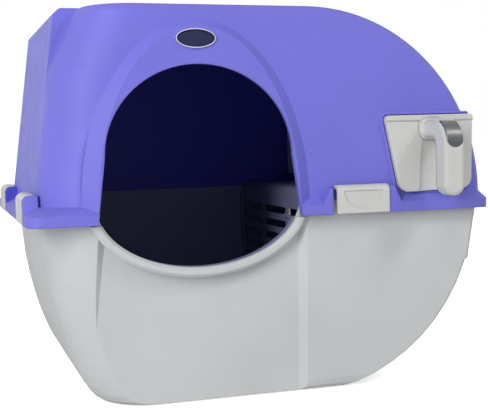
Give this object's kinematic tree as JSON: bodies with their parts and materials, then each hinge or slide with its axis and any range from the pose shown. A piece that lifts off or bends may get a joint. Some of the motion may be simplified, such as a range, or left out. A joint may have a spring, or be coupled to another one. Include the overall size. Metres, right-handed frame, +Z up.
{
  "type": "self-cleaning litter box",
  "caption": "Roll-to-clean cat litter box with a latched hooded cover, a slotted filter grille and a pull-out waste tray.",
  "frame": {"origin": "middle of the flat part of the underside", "axes": "+X to the right end that the box rolls on, -Y to the doorway and the tray handle, +Z up"},
  "size_m": [0.5825, 0.5235, 0.472],
  "materials": {
    "cover_plastic": "satin",
    "base_plastic": "satin",
    "trim_plastic": "satin",
    "grip_plastic": "glossy",
    "badge_metal": "polished",
    "badge_face": "glossy",
    "steel": "satin"
  },
  "bodies": {
    "base": {"base_shell": "base_plastic", "filter_grille": "base_plastic"},
    "cover": {"cover_shell": "cover_plastic", "tray_shelf": "cover_plastic", "badge_bezel": "badge_metal", "badge_dome": "badge_face"},
    "tray": {"waste_tray": "trim_plastic", "tray_front": "trim_plastic", "tray_handle": "trim_plastic", "tray_grip_pad": "grip_plastic", "handle_screws": "steel"},
    "front_latch": {"latch_front": "trim_plastic", "latch_pin_front": "steel"},
    "back_latch": {"latch_back": "trim_plastic", "latch_pin_back": "steel"},
    "left_front_latch": {"latch_left_front": "trim_plastic", "latch_pin_left_front": "steel"},
    "left_back_latch": {"latch_left_back": "trim_plastic", "latch_pin_left_back": "steel"}
  },
  "joints": [
    {"name": "cover_lift", "type": "slide", "parent": "base", "child": "cover", "axis": [0, 0, 1], "range_m": [0, 0.25]},
    {"name": "tray_pull", "type": "slide", "parent": "cover", "child": "tray", "axis": [0, -1, 0], "range_m": [0, 0.45]},
    {"name": "front_latch_swing", "type": "hinge", "parent": "base", "child": "front_latch", "pos_m": [0.1645, -0.228, 0.224], "axis": [1, 0, 0], "range_deg": [0, 95]},
    {"name": "back_latch_swing", "type": "hinge", "parent": "base", "child": "back_latch", "pos_m": [0.1645, 0.228, 0.224], "axis": [-1, 0, 0], "range_deg": [0, 95]},
    {"name": "left_front_latch_swing", "type": "hinge", "parent": "base", "child": "left_front_latch", "pos_m": [-0.232, -0.136, 0.224], "axis": [0, -1, 0], "range_deg": [0, 95]},
    {"name": "left_back_latch_swing", "type": "hinge", "parent": "base", "child": "left_back_latch", "pos_m": [-0.232, 0.136, 0.224], "axis": [0, -1, 0], "range_deg": [0, 95]}
  ]
}
